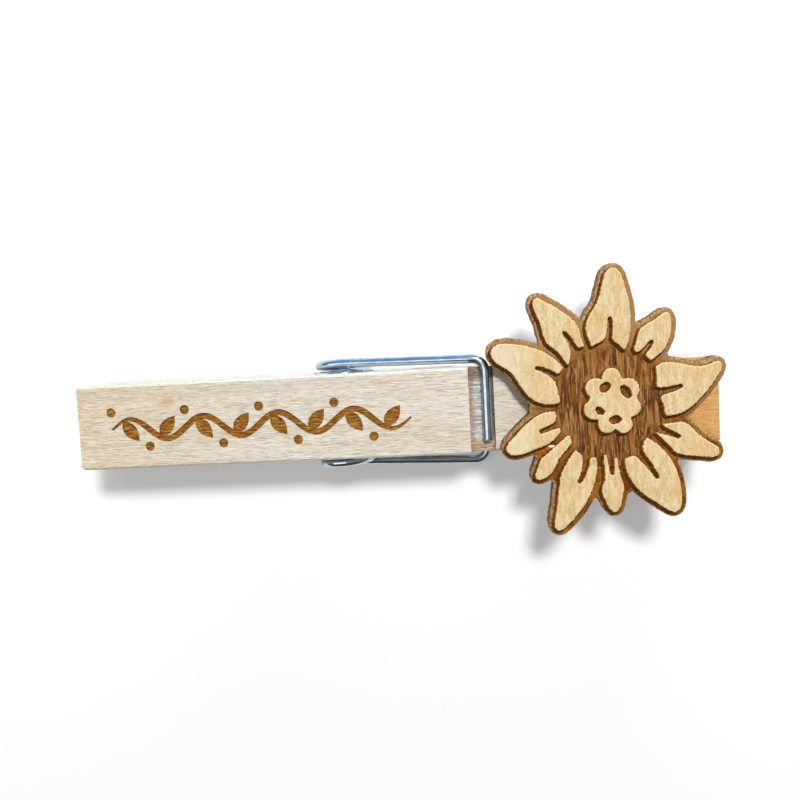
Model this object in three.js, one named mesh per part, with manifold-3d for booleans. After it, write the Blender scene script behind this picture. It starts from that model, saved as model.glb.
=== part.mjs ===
// A wooden spring clothes peg with a laser-cut edelweiss glued on its front jaw.
// Millimetres, +Z up. The peg lies on the outer face of its rear leg: +X points to the jaws,
// +Z out of the front leg's outer face, and the origin is on the rest face, under the coil's centre.
import * as THREE from "three";
import { mergeVertices } from "three/addons/utils/BufferGeometryUtils.js";
import Module from "manifold-3d";

// ---- Driving dimensions ----
const PEG_WIDTH = 12;
const HANDLE_REACH = 37.7; // coil centre to the handle end
const JAW_REACH = 52.3; // coil centre to the jaw tip
const LEG_THICKNESS = 6.6; // at the coil
const HANDLE_END_THICKNESS = 3.6; // the inner face tapers to this at the handle end
const JAW_STEP = 1.9; // the jaw's outer face lies this far below the handle's
const EDGE_CHAMFER = 0.3;

const WIRE_DIAMETER = 1.3;
const COIL_DIAMETER = 8.5; // outside
const COIL_TURNS = 9;
const SEAT_CLEARANCE = 0.25; // between the coil and its half-round seats

const GROOVE_START = 18.1; // the groove across each outer face that holds the wire's end
const GROOVE_WIDTH = 3.5;
const GROOVE_DEPTH = 2.45;
const WIRE_TO_GROOVE_WALL = 0.4;
const WIRE_TO_GROOVE_FLOOR = 0.1;
const WIRE_END_REACH = 4.45; // from the middle of the leg to the wire's cut end
const FRONT_ARM_GAP = 0.5; // from the front leg's side to the arm, at the groove
const REAR_ARM_GAP = 1.85; // the same at the rear leg, where the wire stands off further
const FRONT_COIL_GAP = 0.75; // from the leg's side to the coil's end turn, on the front arm's side
const REAR_COIL_GAP = 1; // the same on the rear arm's side
const WIRE_BEND_RADIUS = 1.8; // of the wire's centreline

const LINE_NOTCH_PLACE = 13; // the round notch in the jaws that takes a washing line
const LINE_NOTCH_RADIUS = 3.1;

const ENGRAVING_DEPTH = 0.3;
const VINE_START = -32.8;
const VINE_WAVE = 10.7;
const VINE_WAVES = 4;
const VINE_SWING = 1.5;
const VINE_STROKE = 0.9;
const VINE_MIDDLE = -0.4;
const STEM_END_SHARE = 0.35; // of the stroke that is left at the stem's two ends
const LEAF_LENGTH = 3.7;
const LEAF_WIDTH = 1.95;
const LEAF_LEAN = 0.9; // radians from the peg's length
const LEAF_BEFORE_CREST = 1.1;
const BERRY_RADIUS = 0.68;
const BERRY_HEIGHT = 2.5;

const PLATE_THICKNESS = 3;
const RELIEF_DEPTH = 0.5; // how far the engraved floor lies below the petals
const BORDER_WIDTH = 0.72; // of the engraved band round a petal
const FLOWER_PLACE = 37.1; // coil centre to the flower's centre
const OUTLINE_STEP = 0.6;
const SLIT_TIP_RADIUS = 0.3;

const MID_HEIGHT = LEG_THICKNESS; // the closed jaws meet at this height
const WIRE_RADIUS = WIRE_DIAMETER / 2;

// ---- Colours ----
const BEECH = new THREE.MeshStandardMaterial({ color: 0xe0cfb4, roughness: 0.72, metalness: 0 });
const BIRCH_PLY = new THREE.MeshStandardMaterial({ color: 0xe6d2a4, roughness: 0.7, metalness: 0 });
const STEEL = new THREE.MeshStandardMaterial({ color: 0xa9b4bd, roughness: 0.22, metalness: 1 });

// ---- Solids ----
const wasm = await Module();
wasm.setup();

function solidOf(geometry) {
  const bare = geometry.index ? geometry.toNonIndexed() : geometry.clone();
  bare.deleteAttribute("normal");
  bare.deleteAttribute("uv");
  const merged = mergeVertices(bare, 1e-4);
  return new wasm.Manifold(
    new wasm.Mesh({
      numProp: 3,
      vertProperties: merged.attributes.position.array,
      triVerts: new Uint32Array(merged.index.array),
    }),
  );
}

function geometryOf(solid) {
  const { vertProperties, triVerts } = solid.getMesh();
  const geometry = new THREE.BufferGeometry();
  geometry.setAttribute("position", new THREE.BufferAttribute(vertProperties, 3));
  geometry.setIndex(new THREE.BufferAttribute(triVerts, 1));
  geometry.computeVertexNormals();
  return geometry;
}

function namedMesh(name, geometry, material) {
  const mesh = new THREE.Mesh(geometry, material);
  mesh.name = name;
  return mesh;
}

// A flat outline, extruded from one height to another.
function slab(shape, low, high) {
  const geometry = new THREE.ExtrudeGeometry(shape, { depth: high - low, bevelEnabled: false, curveSegments: 5 });
  return solidOf(geometry.translate(0, 0, low));
}

// A side outline in x and z, extruded across the peg, with its edges chamfered if asked.
function acrossPeg(outline, width, chamfer = 0) {
  const geometry = new THREE.ExtrudeGeometry(new THREE.Shape(outline), {
    depth: width - 2 * chamfer,
    bevelEnabled: chamfer > 0,
    bevelThickness: chamfer,
    bevelSize: chamfer,
    bevelOffset: -chamfer,
    bevelSegments: 1,
  });
  geometry.translate(0, 0, chamfer - width / 2);
  return solidOf(geometry.rotateX(Math.PI / 2));
}

function rodAcrossPeg(radius, x, sides) {
  return solidOf(new THREE.CylinderGeometry(radius, radius, PEG_WIDTH + 2, sides).translate(x, 0, 0));
}

function rectangle(lowX, lowZ, highX, highZ) {
  return [
    new THREE.Vector2(lowX, lowZ),
    new THREE.Vector2(highX, lowZ),
    new THREE.Vector2(highX, highZ),
    new THREE.Vector2(lowX, highZ),
  ];
}

// ---- Legs: modelled with the meeting plane of the jaws at z = 0 and the outer face up ----
function plainLeg() {
  const jawTop = LEG_THICKNESS - JAW_STEP;
  const stepPlace = GROOVE_START + GROOVE_WIDTH / 2; // inside the groove, which is cut next
  const blank = acrossPeg(
    [
      new THREE.Vector2(-HANDLE_REACH, LEG_THICKNESS - HANDLE_END_THICKNESS),
      new THREE.Vector2(0, 0),
      new THREE.Vector2(JAW_REACH, 0),
      new THREE.Vector2(JAW_REACH, jawTop),
      new THREE.Vector2(stepPlace, jawTop),
      new THREE.Vector2(stepPlace, LEG_THICKNESS),
      new THREE.Vector2(-HANDLE_REACH, LEG_THICKNESS),
    ],
    PEG_WIDTH,
    EDGE_CHAMFER,
  );
  const grooveFloor = LEG_THICKNESS - GROOVE_DEPTH;
  const groove = rectangle(GROOVE_START, grooveFloor, GROOVE_START + GROOVE_WIDTH, LEG_THICKNESS + 1);
  return blank
    .subtract(rodAcrossPeg(COIL_DIAMETER / 2 + SEAT_CLEARANCE, 0, 40))
    .subtract(rodAcrossPeg(LINE_NOTCH_RADIUS, LINE_NOTCH_PLACE, 24))
    .subtract(acrossPeg(groove, PEG_WIDTH + 2));
}

// ---- The engraved vine: a wavy stem with a leaf and a berry in each half wave ----
function vineHeight(x) {
  return VINE_MIDDLE + VINE_SWING * Math.sin((2 * Math.PI * (x - VINE_START)) / VINE_WAVE);
}

function vineStem() {
  const steps = VINE_WAVES * 18;
  const upper = [];
  const lower = [];
  for (let i = 0; i <= steps; i++) {
    const x = VINE_START + (i / steps) * VINE_WAVE * VINE_WAVES;
    const slope = (vineHeight(x + 0.01) - vineHeight(x - 0.01)) / 0.02;
    const nearEnd = Math.min(1, (2 * VINE_WAVES * Math.min(i, steps - i)) / steps);
    const half = (VINE_STROKE / 2) * THREE.MathUtils.lerp(STEM_END_SHARE, 1, nearEnd);
    const across = new THREE.Vector2(-slope, 1).normalize().multiplyScalar(half);
    upper.push(new THREE.Vector2(x + across.x, vineHeight(x) + across.y));
    lower.push(new THREE.Vector2(x - across.x, vineHeight(x) - across.y));
  }
  return new THREE.Shape([...lower, ...upper.reverse()]);
}

function leaf(x, y, heading) {
  const along = new THREE.Vector2(Math.cos(heading), Math.sin(heading));
  const side = new THREE.Vector2(-along.y, along.x).multiplyScalar(LEAF_WIDTH);
  const tip = new THREE.Vector2(x, y).addScaledVector(along, LEAF_LENGTH);
  const belly = new THREE.Vector2(x, y).addScaledVector(along, LEAF_LENGTH * 0.42);
  const shape = new THREE.Shape().moveTo(x, y);
  shape.quadraticCurveTo(belly.x - side.x, belly.y - side.y, tip.x, tip.y);
  shape.quadraticCurveTo(belly.x + side.x, belly.y + side.y, x, y);
  return shape;
}

function roundShape(x, y, radius) {
  return new THREE.Shape().absarc(x, y, radius, 0, 2 * Math.PI, false);
}

function vineShapes() {
  const shapes = [vineStem()];
  for (let half = 0; half < 2 * VINE_WAVES; half++) {
    const up = half % 2 === 0 ? 1 : -1;
    const crest = VINE_START + (half + 0.5) * (VINE_WAVE / 2);
    // Each leaf leaves the stem before a crest and leans into the hollow on its other side.
    const leafStart = crest - LEAF_BEFORE_CREST;
    shapes.push(leaf(leafStart, vineHeight(leafStart), -up * LEAF_LEAN));
    shapes.push(roundShape(crest - VINE_WAVE / 4, VINE_MIDDLE + up * BERRY_HEIGHT, BERRY_RADIUS));
  }
  return shapes;
}

function engravedLeg() {
  let leg = plainLeg();
  for (const shape of vineShapes())
    leg = leg.subtract(slab(shape, LEG_THICKNESS - ENGRAVING_DEPTH, LEG_THICKNESS + 1));
  return leg;
}

// ---- Spring: one wire, from the front groove round the coil to the rear groove ----
const COIL_RADIUS = (COIL_DIAMETER - WIRE_DIAMETER) / 2; // of the wire's centreline

// One arm: from the wire's cut end in the groove, round the bend at the leg's side and along
// to the coil, as the tangent to the coil's top.
function armRoute(armGap, coilGap) {
  const crossX = GROOVE_START + GROOVE_WIDTH - WIRE_TO_GROOVE_WALL - WIRE_RADIUS;
  const crossZ = LEG_THICKNESS - GROOVE_DEPTH + WIRE_TO_GROOVE_FLOOR + WIRE_RADIUS;
  const armY = PEG_WIDTH / 2 + armGap + WIRE_RADIUS;
  const coilEnd = PEG_WIDTH / 2 + coilGap + WIRE_RADIUS;
  const bendX = crossX - WIRE_BEND_RADIUS;
  const bendY = armY - WIRE_BEND_RADIUS;
  const rise = Math.atan2(crossZ, bendX) - Math.asin(COIL_RADIUS / Math.hypot(bendX, crossZ));
  const coilAngle = Math.PI / 2 + rise;

  const route = [];
  for (let i = 0; i <= 4; i++) {
    const y = THREE.MathUtils.lerp(-WIRE_END_REACH, bendY - 0.6, i / 4);
    route.push(new THREE.Vector3(crossX, y, crossZ));
  }
  for (let i = 0; i <= 6; i++) {
    const turn = (i / 6) * (Math.PI / 2);
    const x = bendX + WIRE_BEND_RADIUS * Math.cos(turn);
    route.push(new THREE.Vector3(x, bendY + WIRE_BEND_RADIUS * Math.sin(turn), crossZ));
  }
  const bendEnd = route.at(-1);
  const coilTop = new THREE.Vector3(COIL_RADIUS * Math.cos(coilAngle), coilEnd, COIL_RADIUS * Math.sin(coilAngle));
  for (let i = 1; i <= 5; i++) route.push(bendEnd.clone().lerp(coilTop, i / 6));
  return { route, coilAngle, coilEnd };
}

// The coil takes whole turns and the part turn that brings it from one arm to the other.
function springRoute() {
  const front = armRoute(FRONT_ARM_GAP, FRONT_COIL_GAP);
  const rear = armRoute(REAR_ARM_GAP, REAR_COIL_GAP);
  const rearRoute = rear.route.map((p) => new THREE.Vector3(p.x, -p.y, -p.z)).reverse(); // turned over
  const sweep = (COIL_TURNS + 1) * 2 * Math.PI - front.coilAngle - rear.coilAngle;
  const steps = Math.ceil((sweep / (2 * Math.PI)) * 16);
  const coil = [];
  for (let i = 0; i <= steps; i++) {
    const turn = front.coilAngle + (i / steps) * sweep;
    const y = THREE.MathUtils.lerp(front.coilEnd, -rear.coilEnd, i / steps);
    coil.push(new THREE.Vector3(COIL_RADIUS * Math.cos(turn), y, COIL_RADIUS * Math.sin(turn)));
  }
  return [...front.route, ...coil, ...rearRoute];
}

function springGeometry() {
  const path = new THREE.CatmullRomCurve3(springRoute(), false, "centripetal");
  const section = [];
  for (let i = 0; i < 8; i++) {
    const turn = (i / 8) * 2 * Math.PI;
    section.push(new THREE.Vector2(WIRE_RADIUS * Math.cos(turn), WIRE_RADIUS * Math.sin(turn)));
  }
  path.arcLengthDivisions = 2000;
  return new THREE.ExtrudeGeometry(new THREE.Shape(section), { steps: 280, extrudePath: path });
}

// ---- Edelweiss: one plywood plate, engraved round its petals and its florets ----
// Each petal is drawn clockwise from foot to foot round its tip, in millimetres from the
// flower's centre. Its foot line then goes on: base, the slit's near side, the slit's far side, base.
const PETALS = [
  {
    // top
    edge: [
      [-2.2, 8], [-2.9, 10.2], [-2.5, 12], [-1.3, 13.9], [-0.6, 16], [0, 17.9], [0.9, 18.5],
      [1.8, 17.9], [2.4, 16], [2.95, 13.5], [3.05, 10.7], [2.7, 8.5], [2.15, 7.2],
    ],
    base: [[1.4, 8.2], [-1.4, 8.5]],
    slit: { mouth: [[0.5, 8.7], [-0.4, 8.9]], bend: [0.45, 10.4], tip: [0.3, 12] },
  },
  {
    // upper left
    border: 0.82,
    edge: [
      [-5.45, 5.6], [-6.8, 7.6], [-8, 8.6], [-8.6, 9.8], [-9, 11.6], [-9.7, 13.4], [-9.9, 14.4],
      [-9.4, 15], [-8.5, 14.6], [-6.3, 13.2], [-4.6, 11.8], [-3.9, 10.7], [-3.6, 9.3], [-3.15, 8.1],
    ],
    base: [[-3.6, 8.1], [-5.1, 6.6]],
    slit: { mouth: [[-4.05, 7.9], [-5, 7.6]], bend: [-5.0, 9.2], tip: [-6, 10.3] },
  },
  {
    // left, large
    edge: [
      [-6.6, 0.65], [-7.6, 0.5], [-8.9, 0.55], [-10.3, 1.2], [-11.6, 2.6], [-12.6, 4.3], [-13.5, 5.4],
      [-15, 6.4], [-15.75, 7.4], [-15.7, 8.3], [-14.9, 8.95], [-13.2, 9], [-11, 8.6], [-8.6, 7.6],
      [-6.9, 6.3], [-6.1, 5.3],
    ],
    base: [[-6.45, 4.9], [-6.95, 2.1]],
    slit: { mouth: [[-6.75, 4.5], [-7.2, 3.6]], bend: [-8.3, 5.3], tip: [-10, 5.6] },
  },
  {
    // lower left
    edge: [
      [-6.7, -3.2], [-7.3, -4], [-8.5, -4.9], [-10.3, -5.6], [-12, -6.15], [-13.4, -6.3], [-14.15, -5.8],
      [-14.1, -4.9], [-13, -3.7], [-11.6, -2.3], [-10.3, -1.3], [-9.2, -0.7], [-8.2, -0.55], [-7.4, -0.5],
    ],
    base: [[-7.25, -1.2], [-6.8, -2.85]],
    slit: { mouth: [[-7.4, -1.95], [-7, -2.75]], bend: [-8.5, -2.85], tip: [-9.7, -3.3] },
  },
  {
    // lower left, small and without a slit
    edge: [
      [-5.3, -4.9], [-6.1, -5.9], [-7, -6.9], [-7.6, -8], [-8.2, -9], [-9.3, -9.7], [-10.2, -9.9],
      [-10.5, -9.5], [-10.1, -8.4], [-9.6, -7.1], [-8.5, -6.1], [-7.3, -5.1], [-6.3, -4.3], [-5.9, -3.9],
    ],
    base: [[-5.55, -3.9], [-5.4, -4.3]],
  },
  {
    // bottom left, large
    border: 0.82,
    edge: [
      [-2.1, -7.1], [-2, -8.3], [-2.3, -10], [-3, -12], [-4.2, -14], [-5.9, -15.9], [-7.2, -17],
      [-7.9, -16.9], [-8.05, -16.1], [-7.6, -13.6], [-7.3, -11.2], [-6.8, -9], [-5.9, -7.3], [-4.9, -5.9],
    ],
    base: [[-4.4, -6.3], [-2.5, -7.05]],
    slit: { mouth: [[-3.9, -6.85], [-2.9, -7.1]], bend: [-3.5, -9.2], tip: [-4.65, -10.6] },
  },
  {
    // bottom, small
    edge: [
      [0.7, -7.3], [0.8, -8.4], [1.1, -9.9], [1.5, -11.2], [1.2, -12.8], [0.8, -14.2], [0.2, -14.8],
      [-0.4, -14.4], [-1.1, -13], [-1.5, -11.6], [-1.1, -10.4], [-1, -8.9], [-1.1, -7.6], [-1.05, -6.8],
    ],
    base: [[-0.85, -6.75], [0.5, -7.25]],
    slit: { mouth: [[-0.65, -7], [0.3, -7.25]], bend: [-0.1, -8.4], tip: [0, -9.6] },
  },
  {
    // bottom right, large
    edge: [
      [4.7, -4.6], [6, -5.5], [7.3, -6.9], [8.3, -8.6], [8.9, -10.5], [9.15, -12.6], [9, -14.3],
      [8.3, -15.05], [7.4, -14.7], [5.5, -13.4], [3.4, -11.7], [2.2, -9.9], [1.7, -8.3], [1.7, -7.4],
    ],
    base: [[2.4, -7.2], [4.35, -5.3]],
    slit: { mouth: [[3.1, -7], [4, -6.25]], bend: [5.1, -8.5], tip: [6.15, -10.4] },
  },
  {
    // lower right
    edge: [
      [6.85, -2.9], [7.6, -2.8], [8.6, -2.75], [9.5, -2.65], [10.3, -3.1], [11.6, -4.5], [13.3, -5.8],
      [14.2, -6.4], [14.25, -7.2], [13.7, -7.65], [12, -7.5], [10, -7.25], [8.6, -6.9], [7.6, -5.8],
      [6.6, -4.7], [5.9, -4],
    ],
    base: [[6.15, -3.95], [6.9, -3.05]],
    slit: { mouth: [[6.4, -4.1], [7, -3.2]], bend: [8, -4.15], tip: [9.2, -4.8] },
  },
  {
    // right, large
    edge: [
      [6.15, 5], [7, 5.4], [8.2, 5.45], [9.8, 5.1], [11.5, 4.7], [13, 4.8], [14.2, 5.3], [14.85, 5.1],
      [14.8, 4.3], [13.8, 2.6], [12.3, 0.8], [10.6, -0.8], [9, -1.6], [7.8, -1.75], [7.2, -1.75],
    ],
    base: [[7.15, -0.5], [6.3, 3.3]],
    slit: { mouth: [[6.6, 0.95], [6.2, 2]], bend: [8.2, 1.75], tip: [9.75, 2.25] },
  },
  {
    // upper right
    edge: [
      [3.35, 7.3], [3.8, 8.6], [4.1, 9.8], [4.8, 10.5], [6.2, 11.2], [7.3, 12], [7.9, 12.2], [8.35, 11.5],
      [8.4, 10.2], [8.1, 8.7], [7.4, 7.2], [6.4, 6.4], [5.6, 5.75],
    ],
    base: [[5.2, 6.1], [3.7, 6.95]],
    slit: { mouth: [[4.9, 6.7], [4.1, 7.1]], bend: [5.3, 7.5], tip: [5.9, 8.55] },
  },
];
// Where the outlines of neighbouring petals meet.
const VALLEYS = [
  [3.8, 11.1], [8, 6.4], [10.1, -2], [8.9, -8.2], [2.2, -12.3], [-2.2, -12.8],
  [-8.2, -10.2], [-10.4, -6.6], [-10.8, -0.1], [-9.3, 9], [-3.8, 12],
];
// The florets: round lobes [x, y, radius] that run together, with oval hollows
// [x, y, half length, half width, turn in degrees].
const LOBES = [
  [0.45, 0.4, 3.3], [0.3, 2.4, 1.86], [0.3, 3.85, 1.25], [-1.9, 2.4, 1.4], [-2.2, -0.5, 1.4],
  [-0.5, -2.6, 1.25], [1.7, -2.65, 1.25], [2.85, -0.4, 1.25], [2.5, 2.1, 1.5],
];
const HOLLOWS = [
  [-0.6, 2.45, 0.9, 0.68, 35], [2.15, 1.75, 1.1, 0.66, -55], [-1.4, -0.7, 0.75, 0.52, -40], [0.6, -2, 0.88, 0.62, 5],
];

const flat = ([x, y]) => new THREE.Vector2(x, y);

function smoothEdge(edge) {
  const curve = new THREE.CatmullRomCurve3(edge.map(([x, y]) => new THREE.Vector3(x, y, 0)), false, "centripetal");
  const steps = Math.round(curve.getLength() / OUTLINE_STEP);
  return curve.getSpacedPoints(steps).map((p) => new THREE.Vector2(p.x, p.y));
}

// The two sides of a slit that narrows along a bent line from its mouth to a round tip.
function slitOutline({ mouth, bend, tip }) {
  const [near, far] = mouth.map(flat);
  const middle = near.clone().add(far).multiplyScalar(0.5);
  const line = new THREE.QuadraticBezierCurve(middle, flat(bend), flat(tip));
  const mouthHalf = near.distanceTo(far) / 2;
  const nearSide = [near];
  const farSide = [far];
  for (const t of [0.35, 0.7, 0.93]) {
    const half = THREE.MathUtils.lerp(mouthHalf, SLIT_TIP_RADIUS, t ** 0.8);
    const ahead = line.getTangent(t);
    const across = new THREE.Vector2(-ahead.y, ahead.x).multiplyScalar(half);
    const sign = Math.sign(across.dot(near.clone().sub(middle)));
    nearSide.push(line.getPoint(t).addScaledVector(across, sign));
    farSide.push(line.getPoint(t).addScaledVector(across, -sign));
  }
  return [...nearSide, flat(tip), ...farSide.reverse()];
}

function petalIsland({ edge, base, slit }) {
  const [near, far] = base.map(flat);
  const foot = slit ? [near, ...slitOutline(slit), far] : [near, far];
  return new THREE.Shape([...smoothEdge(edge), ...foot]);
}

// The petal's edge moved outwards by the border's width, closed at the flower's centre.
function petalBorder({ edge, border = BORDER_WIDTH }) {
  const points = smoothEdge(edge);
  const outer = points.map((point, i) => {
    const before = points[Math.max(i - 1, 0)];
    const after = points[Math.min(i + 1, points.length - 1)];
    const along = after.clone().sub(before).normalize();
    return point.clone().add(new THREE.Vector2(-along.y, along.x).multiplyScalar(border));
  });
  return new THREE.Shape([...outer, new THREE.Vector2(0, 0)]);
}

function ovalShape(x, y, halfLength, halfWidth, degrees) {
  const turn = THREE.MathUtils.degToRad(degrees);
  return new THREE.Shape().absellipse(x, y, halfLength, halfWidth, 0, 2 * Math.PI, false, turn);
}

function edelweissSolid() {
  const floor = PLATE_THICKNESS - RELIEF_DEPTH;
  const rootedAt = PLATE_THICKNESS / 3; // the raised parts start inside the plate
  let plate = slab(new THREE.Shape(VALLEYS.map(flat)), 0, floor);
  for (const petal of PETALS) plate = plate.add(slab(petalBorder(petal), 0, floor));
  for (const petal of PETALS) plate = plate.add(slab(petalIsland(petal), rootedAt, PLATE_THICKNESS));

  let florets = slab(roundShape(...LOBES[0]), rootedAt, PLATE_THICKNESS);
  for (const lobe of LOBES.slice(1)) florets = florets.add(slab(roundShape(...lobe), rootedAt, PLATE_THICKNESS));
  for (const hollow of HOLLOWS) florets = florets.subtract(slab(ovalShape(...hollow), floor, PLATE_THICKNESS + 1));
  return plate.add(florets);
}

// ---- The assembly ----
const peg = new THREE.Group();

const rearLeg = namedMesh("rear_leg", geometryOf(plainLeg()), BEECH);
rearLeg.rotation.x = Math.PI; // the same leg, turned over
peg.add(rearLeg);

peg.add(namedMesh("spring", springGeometry(), STEEL));

const frontHalf = new THREE.Group(); // all that turns on the coil when the handles are squeezed
frontHalf.add(namedMesh("front_leg", geometryOf(engravedLeg()), BEECH));
const edelweiss = namedMesh("edelweiss", geometryOf(edelweissSolid()), BIRCH_PLY);
edelweiss.position.set(FLOWER_PLACE, 0, LEG_THICKNESS - JAW_STEP);
frontHalf.add(edelweiss);
peg.add(frontHalf);

peg.position.z = MID_HEIGHT;
const root = new THREE.Group();
root.add(peg);

export default root;
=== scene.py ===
"""The looks of a wooden spring clothes peg with a laser-cut edelweiss on its front jaw.

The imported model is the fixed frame. Its two legs are kept and get beech materials. The spring and the
edelweiss are replaced by finer meshes of the same shapes. Sizes are named in millimetres.
"""

import math

import bmesh
import bpy
from mathutils import Matrix, Vector, noise
from mathutils.geometry import tessellate_polygon


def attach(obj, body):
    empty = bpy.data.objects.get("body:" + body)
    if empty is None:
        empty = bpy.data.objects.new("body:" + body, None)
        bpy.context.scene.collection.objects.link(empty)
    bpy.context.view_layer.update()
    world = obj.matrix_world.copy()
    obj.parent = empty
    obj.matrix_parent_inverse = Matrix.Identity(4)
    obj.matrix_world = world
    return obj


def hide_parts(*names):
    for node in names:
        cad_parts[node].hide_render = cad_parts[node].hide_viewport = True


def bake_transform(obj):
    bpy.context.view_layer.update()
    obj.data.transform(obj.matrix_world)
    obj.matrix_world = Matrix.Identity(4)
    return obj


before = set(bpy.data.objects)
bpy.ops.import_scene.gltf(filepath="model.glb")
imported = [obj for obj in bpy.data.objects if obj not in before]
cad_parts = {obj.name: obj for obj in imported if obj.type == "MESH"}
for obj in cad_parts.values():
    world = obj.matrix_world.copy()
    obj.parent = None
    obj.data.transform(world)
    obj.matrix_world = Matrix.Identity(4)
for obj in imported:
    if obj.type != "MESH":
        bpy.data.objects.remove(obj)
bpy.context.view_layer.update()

MM = 0.001

# ---- Sizes of the part that the looks follow, in millimetres ----
PEG_WIDTH = 12
LEG_THICKNESS = 6.6
MID_HEIGHT = LEG_THICKNESS  # the jaws meet here
HANDLE_TOP = MID_HEIGHT + LEG_THICKNESS
JAW_STEP = 1.9
GROOVE_START = 18.1
GROOVE_WIDTH = 3.5
GROOVE_END = GROOVE_START + GROOVE_WIDTH
GROOVE_DEPTH = 2.45
GROOVE_FLOOR = LEG_THICKNESS - GROOVE_DEPTH  # above the jaws' meeting plane
ENGRAVING_DEPTH = 0.3
ENGRAVED_FROM = -36
ENGRAVED_TO = 14
STAIN_PLACE = (-24.4, 3.3, HANDLE_TOP)
PAINTED_SHADE_FROM = 24.5  # painted shade browns the jaw's top beside the flower from here on

WIRE_RADIUS = 0.65
COIL_RADIUS = 3.6  # of the wire's centreline
COIL_TURNS = 9
FRONT_COIL_GAP = 0.75  # from the leg's side to the wire
REAR_COIL_GAP = 1
FRONT_ARM_GAP = 0.5
REAR_ARM_GAP = 1.85
WIRE_FROM_GROOVE_WALL = 0.4
WIRE_FROM_GROOVE_FLOOR = 0.1
FRONT_COIL_END = PEG_WIDTH / 2 + FRONT_COIL_GAP + WIRE_RADIUS
REAR_COIL_END = PEG_WIDTH / 2 + REAR_COIL_GAP + WIRE_RADIUS
FRONT_ARM_Y = PEG_WIDTH / 2 + FRONT_ARM_GAP + WIRE_RADIUS
REAR_ARM_Y = PEG_WIDTH / 2 + REAR_ARM_GAP + WIRE_RADIUS
CROSS_X = GROOVE_END - WIRE_FROM_GROOVE_WALL - WIRE_RADIUS  # the wire's end, in the groove
CROSS_Z = GROOVE_FLOOR + WIRE_FROM_GROOVE_FLOOR + WIRE_RADIUS
WIRE_END_REACH = 4.45
WIRE_END_ROUND = 0.12
BEND_RADIUS = 1.8
WIRE_SIDES = 20
CROSS_STEPS = 40
BEND_STEPS = 16
ARM_STEPS = 60
STEPS_PER_TURN = 56

PLATE_BOTTOM = MID_HEIGHT + LEG_THICKNESS - JAW_STEP
PLY_THICKNESS = 3
PLATE_TOP = PLATE_BOTTOM + PLY_THICKNESS
RELIEF_DEPTH = 0.5
ENGRAVED_FLOOR = PLATE_TOP - RELIEF_DEPTH

FLOWER_PLACE = 37.1
DISC_RADIUS = 7
FLORET_HOLLOWS_REACH = 3.1  # from the flower's middle

STUDIO_LIGHT = 1.35  # how bright a white surface that faces up is; 1 is the screen's white


# ---- Shader helpers ----
def srgb(red, green, blue):
    """A colour given as 0 to 255 on a screen, as Blender's linear colour."""
    values = [v / 255 for v in (red, green, blue)]
    linear = [v / 12.92 if v <= 0.04045 else ((v + 0.055) / 1.055) ** 2.4 for v in values]
    return (*linear, 1)


def seen(red, green, blue):
    """The colour of a matt surface that the studio's light shows as this colour on the screen."""
    return (*(value / STUDIO_LIGHT for value in srgb(red, green, blue)[:3]), 1)


class Shader:
    """A material's node tree, with short ways to add its nodes. Places are in millimetres."""

    def __init__(self, name, tree=None):
        if tree is None:
            self.material = bpy.data.materials.new(name)
            self.material.use_nodes = True
            tree = self.material.node_tree
        self.tree = tree
        tree.nodes.clear()

    def node(self, kind, inputs=(), **settings):
        node = self.tree.nodes.new("ShaderNode" + kind)
        for key, value in settings.items():
            setattr(node, key, value)
        for socket, value in dict(inputs).items():
            if isinstance(value, bpy.types.NodeSocket):
                self.tree.links.new(value, node.inputs[socket])
            else:
                node.inputs[socket].default_value = value
        return node

    def place(self):
        """The place on the object in millimetres, and its x, y and z."""
        local = self.node("TexCoord").outputs["Object"]
        place = self.node("VectorMath", {0: local, 3: 1 / MM}, operation="SCALE").outputs[0]
        return place, *self.node("SeparateXYZ", {0: place}).outputs

    def stretch(self, vector, per_mm):
        return self.node("VectorMath", {0: vector, 1: per_mm}, operation="MULTIPLY").outputs[0]

    def math(self, operation, *values):
        return self.node("Math", dict(enumerate(values)), operation=operation).outputs[0]

    def noise(self, vector, detail=3, roughness=0.5, distortion=0):
        inputs = {"Vector": vector, "Scale": 1, "Detail": detail}
        inputs |= {"Roughness": roughness, "Distortion": distortion}
        return self.node("TexNoise", inputs).outputs[0]

    def rise(self, value, low, high, top=1):
        """0 below low, top above high, and a soft step between. With low above high it falls."""
        inputs = {0: value, 1: low, 2: high, 3: 0, 4: top}
        return self.node("MapRange", inputs, interpolation_type="SMOOTHSTEP").outputs[0]

    def within(self, value, low, high, soft):
        """1 between low and high, falling to 0 over soft on both sides."""
        return self.math("MULTIPLY", self.rise(value, low - soft, low), self.rise(value, high + soft, high))

    def mix(self, share, first, second):
        return self.node("Mix", {0: share, 6: first, 7: second}, data_type="RGBA").outputs[2]

    def bump(self, height, depth, normal=None):
        """A normal for a height of 0 to 1 that stands for depth millimetres."""
        inputs = {"Height": height, "Distance": depth * MM, "Strength": 1}
        if normal is not None:
            inputs["Normal"] = normal
        return self.node("Bump", inputs).outputs[0]

    def surface(self, **inputs):
        shader = self.node("BsdfPrincipled", {k.replace("_", " "): v for k, v in inputs.items()})
        output = self.node("OutputMaterial")
        self.tree.links.new(shader.outputs[0], output.inputs[0])
        return self.material


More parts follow.
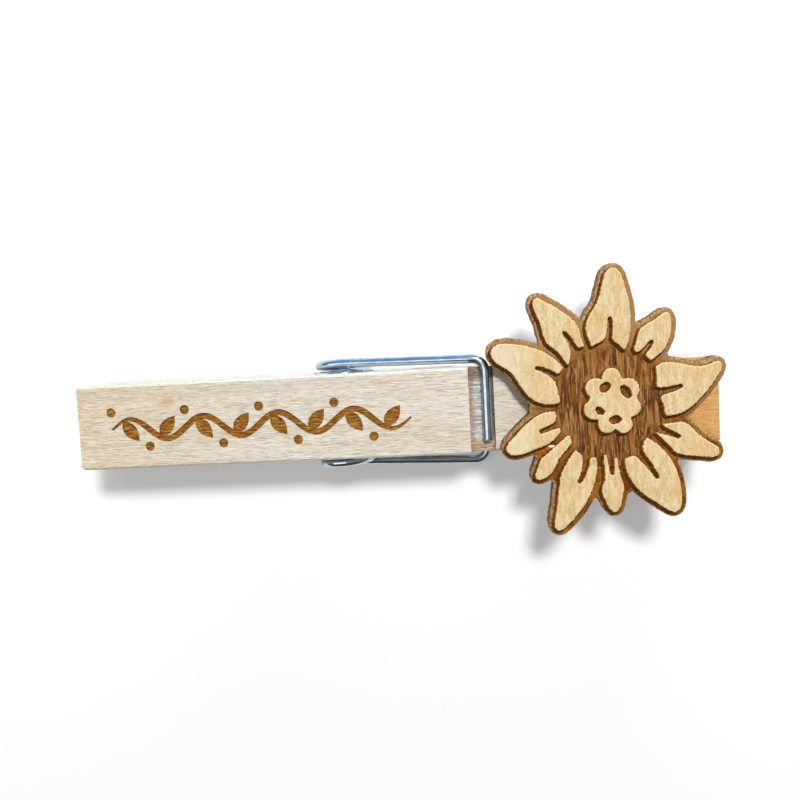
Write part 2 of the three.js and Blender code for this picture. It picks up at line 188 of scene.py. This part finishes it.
# ---- Materials ----
def beech_material():
    s = Shader("beech")
    place, x, y, z = s.place()
    height = s.math("ABSOLUTE", s.math("SUBTRACT", z, MID_HEIGHT))

    # Rough planed face: broad bands, and short wavy fibres, pale and dark, all along the peg.
    bands = s.noise(s.stretch(place, (0.03, 0.5, 0.5)), 4)
    fibres = s.noise(s.stretch(place, (0.62, 8, 8)), 3, 0.58, 0.9)
    pores = s.noise(s.stretch(place, (0.6, 9, 9)), 1, 0.5, 0.5)
    # Painted light: the legs grow paler and whiter from the handle's end towards the coil.
    colour = s.mix(s.rise(x, -34, -8), seen(244, 226, 198), seen(243, 235, 223))
    colour = s.mix(s.rise(bands, 0.42, 0.62, 0.5), colour, seen(228, 210, 182))
    colour = s.mix(s.rise(fibres, 0.53, 0.63, 0.75), colour, seen(204, 182, 152))
    colour = s.mix(s.rise(fibres, 0.46, 0.37, 0.8), colour, seen(252, 247, 236))
    colour = s.mix(s.rise(pores, 0.6, 0.66, 0.6), colour, seen(186, 162, 130))
    # The far long side gets a painted bluish-white light. A faint stain lies on the handle, painted shade
    # browns the jaw beside the flower, and the jaws' ends are tinted tan towards their tips.
    colour = s.mix(s.rise(y, PEG_WIDTH / 2 - 0.3, PEG_WIDTH / 2 - 0.05, 0.5), colour, seen(222, 231, 234))
    from_stain = s.node("VectorMath", {0: place, 1: STAIN_PLACE}, operation="DISTANCE").outputs["Value"]
    colour = s.mix(s.rise(from_stain, 1.5, 0.3, 0.45), colour, seen(228, 168, 108))
    # Painted shade: the jaw's top is browned beside the flower.
    on_jaw = s.rise(z, PLATE_BOTTOM - 0.2, PLATE_BOTTOM - 0.05)
    painted_flower_shade = s.math("MULTIPLY", on_jaw, s.rise(x, PAINTED_SHADE_FROM, PAINTED_SHADE_FROM + 4, 0.85))
    colour = s.mix(painted_flower_shade, colour, seen(206, 174, 140))
    # The jaws' ends are tinted tan towards their tips.
    tan_towards_tips = s.math("MULTIPLY", s.rise(x, 43, 48.5, 0.9), s.rise(y, 5.4, 3.4))
    tan = s.mix(s.rise(fibres, 0.4, 0.6), seen(255, 202, 122), seen(232, 160, 84))
    colour = s.mix(tan_towards_tips, colour, tan)
    relief = s.math("SUBTRACT", s.math("MULTIPLY", pores, -0.5), fibres)
    normal = s.bump(relief, 0.16)

    # Groove floors: torn end grain, pale and brown streaks across the cut, and painted shade: grey between
    # the wire and the groove's wall, brown under the wire's bend.
    in_groove = s.math(
        "MULTIPLY",
        s.within(x, GROOVE_START + 0.03, GROOVE_END - 0.05, 0.03),
        s.within(height, GROOVE_FLOOR - 0.02, GROOVE_FLOOR + 0.1, 0.1),
    )
    streaks = s.noise(s.stretch(place, (0.3, 3.2, 1)), 4, 0.65, 0.8)
    torn = s.mix(s.rise(streaks, 0.36, 0.48), seen(240, 218, 192), seen(255, 255, 254))
    torn = s.mix(s.rise(streaks, 0.4, 0.33, 0.75), torn, seen(160, 124, 92))
    torn = s.mix(s.rise(x, GROOVE_START + 1.1, GROOVE_START + 0.2, 0.6), torn, seen(206, 150, 100))
    # Painted shade: grey on the strip between the wire and the groove's wall.
    painted_wire_shade = s.rise(x, GROOVE_END - 0.6, GROOVE_END - 0.4)
    torn = s.mix(painted_wire_shade, torn, seen(144, 141, 132))
    # Painted shade: brown on the far long side, under the wire's bend.
    torn = s.mix(s.rise(y, 3.9, 4.5, 0.85), torn, seen(168, 140, 116))
    torn = s.mix(s.rise(y, -3.8, -4.8, 0.7), torn, seen(236, 194, 150))
    colour = s.mix(in_groove, colour, torn)
    normal = s.bump(s.math("MULTIPLY", streaks, in_groove), 0.6, normal)

    # Laser engraving: burnt golden brown, in bands along the laser's passes.
    engraved = s.math(
        "MULTIPLY",
        s.within(height, LEG_THICKNESS - ENGRAVING_DEPTH - 0.02, LEG_THICKNESS - 0.03, 0.01),
        s.math(
            "MULTIPLY",
            s.within(x, ENGRAVED_FROM, ENGRAVED_TO, 0.1),
            s.within(y, -PEG_WIDTH / 2 + 0.5, PEG_WIDTH / 2 - 0.5, 0.05),
        ),
    )
    passes = s.noise(s.stretch(place, (0.8, 6, 1)), 4, 0.7, 0.3)
    burnt = s.mix(s.rise(passes, 0.42, 0.58), seen(132, 76, 10), seen(200, 138, 48))
    burnt = s.mix(s.rise(passes, 0.58, 0.67, 0.85), burnt, seen(232, 190, 126))
    colour = s.mix(engraved, colour, burnt)
    normal = s.bump(s.math("MULTIPLY", passes, engraved), 0.15, normal)

    return s.surface(Base_Color=colour, Roughness=0.68, Specular_IOR_Level=0.2, Normal=normal)


def petal_material():
    s = Shader("birch_petal_face")
    place, x, y, z = s.place()
    fibres = s.noise(s.stretch(place, (5.4, 1.1, 1)), 4, 0.66, 0.7)
    mottle = s.noise(s.stretch(place, (1.7, 0.45, 1)), 4, 0.62)
    stains = s.noise(s.stretch(place, (0.42, 0.2, 1)), 3, 0.6, 0.6)
    specks = s.noise(s.stretch(place, (5, 3.4, 1)), 3, 0.7)
    colour = s.mix(s.rise(mottle, 0.4, 0.6), seen(229, 200, 145), seen(246, 223, 177))
    colour = s.mix(s.rise(stains, 0.5, 0.66, 0.6), colour, seen(236, 190, 116))
    colour = s.mix(s.rise(fibres, 0.53, 0.66, 0.6), colour, seen(204, 166, 102))
    colour = s.mix(s.rise(fibres, 0.45, 0.35, 0.7), colour, seen(252, 236, 194))
    colour = s.mix(s.rise(specks, 0.57, 0.67, 0.55), colour, seen(190, 150, 88))
    colour = s.mix(s.rise(x, 29, 23, 0.5), colour, seen(250, 236, 206))
    # The rim gets a painted highlight, and the relief's wall below it is toasted.
    colour = s.mix(s.rise(z, PLATE_TOP - 0.002, PLATE_TOP - 0.01, 0.7), colour, seen(255, 224, 174))
    colour = s.mix(s.rise(z, PLATE_TOP - 0.05, PLATE_TOP - 0.13), colour, seen(178, 128, 66))
    normal = s.bump(s.math("ADD", fibres, s.math("MULTIPLY", specks, 0.6)), 0.14)
    return s.surface(Base_Color=colour, Roughness=0.66, Specular_IOR_Level=0.2, Normal=normal)


def engraved_material():
    """The burnt floor: dark streaky grain in the disc, golden brown with pale grit round the petals."""
    s = Shader("birch_engraved_floor")
    place, x, y, z = s.place()
    ridges = s.noise(s.stretch(place, (1.7, 0.17, 1)), 4, 0.6, 1.2)
    threads = s.noise(s.stretch(place, (5, 0.45, 1)), 3, 0.6, 1)
    blotches = s.noise(s.stretch(place, (0.7, 0.45, 1)), 4, 0.6)
    grit = s.noise(s.stretch(place, (4.6, 3.2, 2)), 3, 0.7)
    from_middle = s.math(
        "SQRT",
        s.math("ADD", s.math("POWER", s.math("SUBTRACT", x, FLOWER_PLACE), 2), s.math("POWER", y, 2)),
    )
    in_disc = s.within(from_middle, FLORET_HOLLOWS_REACH, DISC_RADIUS, 1.2)

    grain = s.mix(s.rise(ridges, 0.44, 0.55), seen(96, 58, 28), seen(178, 123, 68))
    grain = s.mix(s.rise(blotches, 0.45, 0.6, 0.6), grain, seen(148, 92, 34))
    grain = s.mix(s.rise(threads, 0.54, 0.66, 0.7), grain, seen(206, 156, 108))
    grain = s.mix(s.rise(threads, 0.46, 0.37, 0.7), grain, seen(68, 34, 8))
    burnt = s.mix(s.rise(blotches, 0.4, 0.6), seen(116, 62, 8), seen(164, 102, 30))
    # Paler round the upper petals.
    paler_upward = s.math("MULTIPLY", s.rise(y, -6, 6, 0.8), s.rise(from_middle, DISC_RADIUS, DISC_RADIUS + 3))
    burnt = s.mix(paler_upward, burnt, seen(184, 142, 94))
    burnt = s.mix(s.rise(grit, 0.55, 0.66, 0.6), burnt, seen(206, 152, 84))
    burnt = s.mix(s.rise(grit, 0.43, 0.34, 0.7), burnt, seen(84, 42, 4))
    colour = s.mix(in_disc, burnt, grain)
    # The plate's rim is worn down to pale and brown grit.
    worn = s.mix(s.rise(grit, 0.42, 0.58), seen(126, 94, 64), seen(204, 166, 124))
    colour = s.mix(s.rise(z, ENGRAVED_FLOOR - 0.002, ENGRAVED_FLOOR - 0.02, 0.85), colour, worn)
    height = s.math("ADD", s.math("MULTIPLY", ridges, in_disc), s.math("MULTIPLY", grit, 0.7))
    normal = s.bump(height, 0.22)
    return s.surface(Base_Color=colour, Roughness=0.85, Specular_IOR_Level=0.08, Normal=normal)


def scorch_and_painted_shadow_material():
    """The dark foot of the relief's walls: scorch where the laser burns longest, and painted shadow where
    it reaches out on the lower left side.
    """
    s = Shader("birch_scorch_and_painted_shadow")
    place, x, y, z = s.place()
    soot = s.noise(s.stretch(place, (2.5, 2.5, 1)), 4, 0.65)
    colour = s.mix(s.rise(soot, 0.4, 0.62), seen(88, 47, 8), seen(132, 78, 18))
    colour = s.mix(s.rise(z, ENGRAVED_FLOOR + 0.04, ENGRAVED_FLOOR + 0.2), colour, seen(168, 118, 58))
    normal = s.bump(soot, 0.08)
    return s.surface(Base_Color=colour, Roughness=0.85, Specular_IOR_Level=0.08, Normal=normal)


def bare_fibre_material():
    """Where a chip has come off the engraved floor and the veneer shows unburnt."""
    s = Shader("birch_bare_fibre")
    place, *_ = s.place()
    fibres = s.noise(s.stretch(place, (2, 9, 3)), 3, 0.6)
    colour = s.mix(s.rise(fibres, 0.35, 0.6), seen(226, 196, 150), seen(255, 252, 244))
    return s.surface(Base_Color=colour, Roughness=0.7, Specular_IOR_Level=0.2, Normal=s.bump(fibres, 0.05))


def cut_edge_material():
    s = Shader("birch_laser_cut_edge")
    place, x, y, z = s.place()
    layer = s.math("FRACT", s.math("SUBTRACT", z, PLATE_BOTTOM))
    soot = s.noise(s.stretch(place, (1.6, 1.6, 0.5)), 4, 0.65)
    colour = s.mix(s.rise(soot, 0.35, 0.65), seen(108, 80, 58), seen(172, 136, 104))
    colour = s.mix(s.within(layer, 0, 0.08, 0.05), colour, seen(78, 54, 38))
    normal = s.bump(soot, 0.08)
    return s.surface(Base_Color=colour, Roughness=0.8, Specular_IOR_Level=0.1, Normal=normal)


def steel_material():
    s = Shader("spring_steel")
    uv = s.node("TexCoord").outputs["UV"]
    drawn = s.noise(s.stretch(uv, (0.25, 22, 1)), 3, 0.6)
    clouds = s.noise(s.stretch(uv, (0.5, 2.5, 1)), 3, 0.6)
    colour = s.mix(s.rise(clouds, 0.35, 0.65), srgb(168, 186, 206), srgb(198, 210, 222))
    roughness = s.math("ADD", s.rise(drawn, 0.3, 0.7, 0.1), 0.08)
    normal = s.bump(drawn, 0.004)
    return s.surface(Base_Color=colour, Metallic=1.0, Roughness=roughness, Normal=normal)


# ---- Spring: one round wire, from the front groove round the coil to the rear groove ----
def arm_points(arm_y, coil_end):
    """The centreline of one arm, from its cut end to the coil, and the angle at which it meets the coil."""
    bend_x = CROSS_X - BEND_RADIUS
    bend_y = arm_y - BEND_RADIUS
    rise = math.atan2(CROSS_Z, bend_x) - math.asin(COIL_RADIUS / math.hypot(bend_x, CROSS_Z))
    coil_angle = math.pi / 2 + rise
    points = []
    for i in range(CROSS_STEPS):
        y = -WIRE_END_REACH + (bend_y + WIRE_END_REACH) * i / CROSS_STEPS
        points.append(Vector((CROSS_X, y, CROSS_Z)))
    for i in range(BEND_STEPS + 1):
        turn = math.pi / 2 * i / BEND_STEPS
        x = bend_x + BEND_RADIUS * math.cos(turn)
        y = bend_y + BEND_RADIUS * math.sin(turn)
        points.append(Vector((x, y, CROSS_Z)))
    coil_top = Vector((COIL_RADIUS * math.cos(coil_angle), coil_end, COIL_RADIUS * math.sin(coil_angle)))
    start = points[-1].copy()
    points += [start.lerp(coil_top, i / ARM_STEPS) for i in range(1, ARM_STEPS)]
    return points, coil_angle


def spring_points():
    front, front_angle = arm_points(FRONT_ARM_Y, FRONT_COIL_END)
    rear, rear_angle = arm_points(REAR_ARM_Y, REAR_COIL_END)
    rear = [Vector((p.x, -p.y, -p.z)) for p in reversed(rear)]
    sweep = (COIL_TURNS + 1) * 2 * math.pi - front_angle - rear_angle
    steps = COIL_TURNS * STEPS_PER_TURN
    coil = []
    for i in range(steps + 1):
        turn = front_angle + sweep * i / steps
        y = FRONT_COIL_END - (FRONT_COIL_END + REAR_COIL_END) * i / steps
        coil.append(Vector((COIL_RADIUS * math.cos(turn), y, COIL_RADIUS * math.sin(turn))))
    points = front + coil + rear
    for _ in range(4):  # softens the slight kinks where the stretches meet
        points[1:-1] = [(a + b * 2 + c) / 4 for a, b, c in zip(points, points[1:], points[2:])]
    return [p + Vector((0, 0, MID_HEIGHT)) for p in points]


def tube(name, points, radius, sides, end_round):
    """A closed round tube along points, with rounded rims at its two cut ends.
    Its UV map runs in millimetres along the wire and from 0 to 1 round it."""
    mesh = bpy.data.meshes.new(name)
    bm = bmesh.new()
    uv_layer = bm.loops.layers.uv.new("wire")
    tangents = [(b - a).normalized() for a, b in zip(points, points[1:])]
    tangents.append(tangents[-1].copy())
    side = tangents[0].orthogonal().normalized()
    rings = []
    travelled = 0
    lengths = []

    def ring(centre, tangent, across, size):
        other = tangent.cross(across)
        verts = []
        for k in range(sides):
            angle = 2 * math.pi * k / sides
            out = across * math.cos(angle) + other * math.sin(angle)
            verts.append(bm.verts.new((centre + out * size) * MM))
        return verts

    for i, (point, tangent) in enumerate(zip(points, tangents)):
        if i:
            travelled += (point - points[i - 1]).length
            side = (side - tangent * side.dot(tangent)).normalized()
        if i == 0:
            rings.append(ring(point, tangent, side, radius - end_round))
            lengths.append(0)
            rings.append(ring(point + tangent * end_round, tangent, side, radius))
            lengths.append(end_round)
        elif i == len(points) - 1:
            rings.append(ring(point - tangent * end_round, tangent, side, radius))
            lengths.append(travelled - end_round)
            rings.append(ring(point, tangent, side, radius - end_round))
            lengths.append(travelled)
        elif min((point - points[0]).length, (point - points[-1]).length) > end_round * 2:
            rings.append(ring(point, tangent, side, radius))
            lengths.append(travelled)
    for (low, low_at), (high, high_at) in zip(zip(rings, lengths), zip(rings[1:], lengths[1:])):
        for k in range(sides):
            after = (k + 1) % sides
            face = bm.faces.new((low[k], low[after], high[after], high[k]))
            face.smooth = True
            corners = [(low_at, k), (low_at, k + 1), (high_at, k + 1), (high_at, k)]
            for loop, (u, v) in zip(face.loops, corners):
                loop[uv_layer].uv = (u, v / sides)
    bm.faces.new(reversed(rings[0]))
    bm.faces.new(rings[-1])
    bmesh.ops.recalc_face_normals(bm, faces=bm.faces)
    bm.to_mesh(mesh)
    bm.free()
    obj = bpy.data.objects.new(name, mesh)
    bpy.context.scene.collection.objects.link(obj)
    return obj


# ---- Edelweiss: the plate's own outlines, made smooth and given worn edges ----
def outlines(node, height, facing):
    """The closed outlines, in millimetres, of a CAD node's flat faces at a height.
    The faces look up where facing is 1, and down where it is -1.
    Seen from above, an outer outline runs anticlockwise and a hole clockwise."""
    mesh = node.data
    edges = set()
    for polygon in mesh.polygons:
        if polygon.normal.z * facing < 0.9 or abs(polygon.center.z / MM - height) > 0.02:
            continue
        corners = [mesh.vertices[i].co for i in polygon.vertices][::facing]
        keys = [(round(c.x / MM, 3), round(c.y / MM, 3)) for c in corners]
        for edge in zip(keys, keys[1:] + keys[:1]):
            if edge[::-1] in edges:
                edges.remove(edge[::-1])
            else:
                edges.add(edge)
    following = {}
    for a, b in sorted(edges):
        following.setdefault(a, []).append(b)
    loops = []
    while following:
        start = next(iter(following))
        loop = [start]
        while len(loop) == 1 or loop[-1] != start:
            ends = following[loop[-1]]
            loop.append(ends.pop())
            if not ends:
                del following[loop[-2]]
        loops.append([Vector(p) for p in loop[:-1]])
    return loops


def area(loop):
    return sum(a.x * b.y - b.x * a.y for a, b in zip(loop, loop[1:] + loop[:1])) / 2


def smooth_loop(loop, spacing, passes=3):
    """The loop with its corners cut off again and again, at an even spacing."""
    for _ in range(passes):
        cut = []
        for a, b in zip(loop, loop[1:] + loop[:1]):
            cut += [a.lerp(b, 0.25), a.lerp(b, 0.75)]
        loop = cut
    lengths = [(b - a).length for a, b in zip(loop, loop[1:] + loop[:1])]
    total = sum(lengths)
    count = max(12, round(total / spacing))
    even = []
    i, passed = 0, 0
    for k in range(count):
        target = total * k / count
        while passed + lengths[i] < target:
            passed += lengths[i]
            i += 1
        share = (target - passed) / lengths[i]
        even.append(loop[i].lerp(loop[(i + 1) % len(loop)], share))
    return even


def outward(loop):
    """At each point, the unit vector that points out of the solid: out of an outline, or into a hole."""
    normals = []
    for before, after in zip(loop[-1:] + loop[:-1], loop[1:] + loop[:1]):
        along = (after - before).normalized()
        normals.append(Vector((along.y, -along.x)))
    return normals


def ragged(loop, amount, grain, seed):
    """The loop with its edge moved in and out a little, as the laser's passes and the grain leave it.
    Each coarse wave carries finer ones."""
    moved = []
    for point, out in zip(loop, outward(loop)):
        x, y = point.x * grain[0], point.y * grain[1]
        shift = noise.noise(Vector((x, y, seed)))
        shift += FINE_SHARE * noise.noise(Vector((x * FINE_WAVES, y * FINE_WAVES, seed + FINE_SEED)))
        moved.append(point + out * shift * amount)
    return moved


def inset(loop, amount):
    return [point - out * amount for point, out in zip(loop, outward(loop))]


def stack(bm, loops, levels, slots):
    """Closed walls through levels of (height, inset, sideways shift), capped at both ends.
    slots are the materials of the bottom, of each wall from the bottom up, and of the top."""
    bottom_slot, wall_slots, top_slot = slots
    rings = []
    for height, amount, shift in levels:
        ring = []
        for loop in loops:
            moved = [point + shift for point in inset(loop, amount)]
            ring.append([bm.verts.new((point.x * MM, point.y * MM, height * MM)) for point in moved])
        rings.append(ring)
    for low, high, slot in zip(rings, rings[1:], wall_slots):
        for low_loop, high_loop in zip(low, high):
            count = len(low_loop)
            for k in range(count):
                after = (k + 1) % count
                face = bm.faces.new((low_loop[k], low_loop[after], high_loop[after], high_loop[k]))
                face.material_index = slot
                face.smooth = True
    for ring_loops, flip, slot in ((rings[0], True, bottom_slot), (rings[-1], False, top_slot)):
        flat = [vert for loop in ring_loops for vert in loop]
        for triangle in tessellate_polygon([[v.co for v in loop] for loop in ring_loops]):
            corners = [flat[i] for i in triangle]
            normal = (corners[1].co - corners[0].co).cross(corners[2].co - corners[0].co)
            if (normal.z < 0) != flip:
                corners.reverse()
            if normal.length > 0:
                face = bm.faces.new(corners)
                face.material_index = slot


def contains(loop, point):
    inside = False
    for a, b in zip(loop, loop[1:] + loop[:1]):
        if (a.y > point.y) != (b.y > point.y):
            crossing = a.x + (b.x - a.x) * (point.y - a.y) / (b.y - a.y)
            if point.x < crossing:
                inside = not inside
    return inside


PETAL, SCORCH_AND_SHADOW, FLOOR, CUT_EDGE, BARE_FIBRE = range(5)
STRAIGHT = Vector((0, 0))
PAINTED_SHADOW_DRIFT = Vector((-0.2, -0.23))  # the dark skirt lies wider on the lower left side, away from the key lamp: painted shadow
RIM_WEAR = Vector((0.16, -0.1))  # the plate's rim is worn wider on its upper left side
SKIRT_WIDTH = 0.22
ISLAND_SPACING = 0.08  # between an outline's points
PLATE_SPACING = 0.12
ISLAND_RAGGEDNESS = 0.1
PLATE_RAGGEDNESS = 0.07
ISLAND_GRAIN = (4.4, 3)  # how often an edge wavers per millimetre, along x and y
PLATE_GRAIN = (2.6, 2)
FINE_WAVES = 2.3  # in one coarse wave
FINE_SHARE = 0.6
FINE_SEED = 7
ISLAND_SEED = 11
PLATE_SEED = 3
CHIP_PLACE = Vector((29.05, -5.3))
CHIP_LENGTH = 1.0
CHIP_WIDTH = 0.4
CHIP_POINTS = 20


def add_islands(bm, raised):
    """The raised petals and florets, each with a worn rim and a dark skirt at its foot: scorch, and painted
    shadow where it lies wider on the lower left side.
    """
    solid = [loop for loop in raised if area(loop) > 0]
    holes = [loop for loop in raised if area(loop) < 0]
    levels = [
        (ENGRAVED_FLOOR - 0.2, -SKIRT_WIDTH, PAINTED_SHADOW_DRIFT),  # the skirt, sunk into the floor
        (ENGRAVED_FLOOR + 0.02, -SKIRT_WIDTH, PAINTED_SHADOW_DRIFT),
        (ENGRAVED_FLOOR + 0.1, -0.03, STRAIGHT),  # the wall
        (PLATE_TOP - 0.12, 0, STRAIGHT),
        (PLATE_TOP - 0.04, 0.03, STRAIGHT),  # the worn rim
        (PLATE_TOP, 0.16, STRAIGHT),
    ]
    slots = (SCORCH_AND_SHADOW, (SCORCH_AND_SHADOW, SCORCH_AND_SHADOW, PETAL, PETAL, PETAL), PETAL)
    for number, loop in enumerate(solid):
        own = [loop] + [hole for hole in holes if contains(loop, hole[0])]
        own = [smooth_loop(each, ISLAND_SPACING) for each in own]
        own = [ragged(each, ISLAND_RAGGEDNESS, ISLAND_GRAIN, ISLAND_SEED + number) for each in own]
        stack(bm, own, levels, slots)


def add_chip(bm):
    """A small lens of bare fibre beside the lower left petals."""
    rim = []
    for i in range(CHIP_POINTS):
        turn = 2 * math.pi * i / CHIP_POINTS
        size = 1 + 0.1 * math.sin(3 * turn)
        out = Vector((CHIP_LENGTH * math.cos(turn), CHIP_WIDTH * math.sin(turn)))
        rim.append(CHIP_PLACE + out * size / 2)
    levels = [(ENGRAVED_FLOOR - 0.05, 0, STRAIGHT), (ENGRAVED_FLOOR + 0.14, 0.05, STRAIGHT)]
    stack(bm, [rim], levels, (BARE_FIBRE, (BARE_FIBRE,), BARE_FIBRE))


def edelweiss_object():
    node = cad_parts["edelweiss"]
    bm = bmesh.new()
    whole = outlines(node, PLATE_BOTTOM, -1)
    plate = [smooth_loop(loop, PLATE_SPACING) for loop in whole]
    plate = [ragged(loop, PLATE_RAGGEDNESS, PLATE_GRAIN, PLATE_SEED) for loop in plate]
    levels = [
        (PLATE_BOTTOM, 0.08, STRAIGHT),  # the lower rim
        (PLATE_BOTTOM + 0.08, 0, STRAIGHT),  # the cut edge
        (ENGRAVED_FLOOR - 0.16, 0, STRAIGHT),
        (ENGRAVED_FLOOR - 0.06, 0.12, RIM_WEAR / 2),  # the worn upper rim
        (ENGRAVED_FLOOR, 0.3, RIM_WEAR),
    ]
    stack(bm, plate, levels, (CUT_EDGE, (CUT_EDGE, CUT_EDGE, FLOOR, FLOOR), FLOOR))
    add_islands(bm, outlines(node, PLATE_TOP, 1))
    add_chip(bm)

    mesh = bpy.data.meshes.new("edelweiss_plate")
    bm.to_mesh(mesh)
    bm.free()
    obj = bpy.data.objects.new("edelweiss_plate", mesh)
    bpy.context.scene.collection.objects.link(obj)
    return obj


def dress():
    beech = beech_material()
    for name in ("front_leg", "rear_leg"):
        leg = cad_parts[name]
        leg.data.materials.clear()
        leg.data.materials.append(beech)

    wire = tube("spring_wire", spring_points(), WIRE_RADIUS, WIRE_SIDES, WIRE_END_ROUND)
    wire.data.materials.append(steel_material())
    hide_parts("spring")
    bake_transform(wire)

    flower = edelweiss_object()
    makers = (petal_material, scorch_and_painted_shadow_material, engraved_material, cut_edge_material, bare_fibre_material)
    for maker in makers:
        flower.data.materials.append(maker())
    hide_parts("edelweiss")
    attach(flower, "front_half")


# ---- Floor, light and camera ----
CAMERA_PLACE = (17.66, 11.41, 130.65)
CAMERA_AHEAD = (-0.07698, -0.07968, -0.99384)
CAMERA_UP = (0.04765, 0.99537, -0.08349)
CAMERA_LENS = 38.3
CAMERA_SENSOR = 36
CAMERA_NEAR = 5  # nothing closer than this is drawn
FLOOR_SIZE = 600
FLOOR_TONES = ((0.65, 0.65, 0.65, 1), (0.66, 0.66, 0.66, 1))
FLOOR_GLOW = 0.2
ROOM_LIGHT = (0.2, 0.2, 0.2, 1)  # the room as it lights what isn't a mirror
ROOM_SEEN = (0.97, 0.97, 0.97, 1)  # as the camera sees it
ROOM_MIRRORED = (0.26, 0.26, 0.26, 1)  # as the steel mirrors it, and its two sides
FAR_SIDE_MIRRORED = (0.22, 0.5, 0.86, 1)
NEAR_SIDE_MIRRORED = (0.09, 0.06, 0.04, 1)


def add_floor():
    """A pale light table, which glows a little, so that shadows on it stay soft and pale."""
    mesh = bpy.data.meshes.new("studio_floor")
    half = FLOOR_SIZE / 2 * MM
    corners = [(-half, -half, 0), (half, -half, 0), (half, half, 0), (-half, half, 0)]
    mesh.from_pydata(corners, [], [(0, 1, 2, 3)])
    floor = bpy.data.objects.new("studio_floor", mesh)
    bpy.context.scene.collection.objects.link(floor)
    s = Shader("studio_floor")
    place, *_ = s.place()
    tone = s.noise(s.stretch(place, (0.01, 0.01, 1)), 2)
    colour = s.mix(tone, *FLOOR_TONES)
    white = (1, 1, 1, 1)
    material = s.surface(
        Base_Color=colour, Roughness=0.9, Emission_Color=white, Emission_Strength=FLOOR_GLOW
    )
    floor.data.materials.append(material)


def add_area_light(name, place, aim, size, watts, colour, reflected=True):
    """A rectangular lamp. Where reflected is False, no glossy surface mirrors it."""
    light = bpy.data.lights.new(name, "AREA")
    light.shape = "RECTANGLE"
    light.size, light.size_y = (value * MM for value in size)
    light.energy = watts
    light.color = colour
    obj = bpy.data.objects.new(name, light)
    obj.location = Vector(place) * MM
    obj.rotation_euler = (Vector(aim) - Vector(place)).to_track_quat("-Z", "Y").to_euler()
    obj.visible_glossy = reflected
    bpy.context.scene.collection.objects.link(obj)


def add_world():
    """A dim room, which the camera sees as pale.
    The steel mirrors its far side, at +Y, as bluish and its near side as dark."""
    world = bpy.data.worlds.new("studio")
    bpy.context.scene.world = world
    world.use_nodes = True
    s = Shader("studio", world.node_tree)
    direction = s.node("TexCoord").outputs["Generated"]
    across = s.node("SeparateXYZ", {0: direction}).outputs[1]
    mirrored = s.mix(s.rise(across, 0.2, 0.75), ROOM_MIRRORED, FAR_SIDE_MIRRORED)
    mirrored = s.mix(s.rise(across, -0.1, -0.6), mirrored, NEAR_SIDE_MIRRORED)
    rays = s.node("LightPath").outputs
    colour = s.mix(rays["Is Glossy Ray"], ROOM_LIGHT, mirrored)
    colour = s.mix(rays["Is Camera Ray"], colour, ROOM_SEEN)
    background = s.node("Background", {0: colour, 1: 1})
    output = s.node("OutputWorld")
    s.tree.links.new(background.outputs[0], output.inputs[0])


def add_camera():
    data = bpy.data.cameras.new("camera")
    data.lens = CAMERA_LENS
    data.sensor_width = CAMERA_SENSOR
    data.clip_start = CAMERA_NEAR * MM
    camera = bpy.data.objects.new("camera", data)
    ahead, up = Vector(CAMERA_AHEAD).normalized(), Vector(CAMERA_UP).normalized()
    right = ahead.cross(up)
    turn = Matrix((right, right.cross(ahead), -ahead)).transposed()
    camera.matrix_world = Matrix.Translation(Vector(CAMERA_PLACE) * MM) @ turn.to_4x4()
    bpy.context.scene.collection.objects.link(camera)
    bpy.context.scene.camera = camera


add_camera()
add_floor()
add_world()
add_area_light(
    "key", place=(110, 250, 550), aim=(10, 0, 5), size=(110, 90), watts=3.75, colour=(1, 0.99, 0.97)
)
add_area_light(
    "fill", place=(-350, -50, 600), aim=(10, 0, 5), size=(400, 700), watts=1.15, colour=(1, 1, 1)
)
add_area_light(
    "side",
    place=(20, 480, 80),
    aim=(10, 0, 8),
    size=(420, 110),
    watts=1.9,
    colour=(0.84, 0.97, 1),
    reflected=False,
)
bpy.context.scene.view_settings.view_transform = "Standard"
dress()
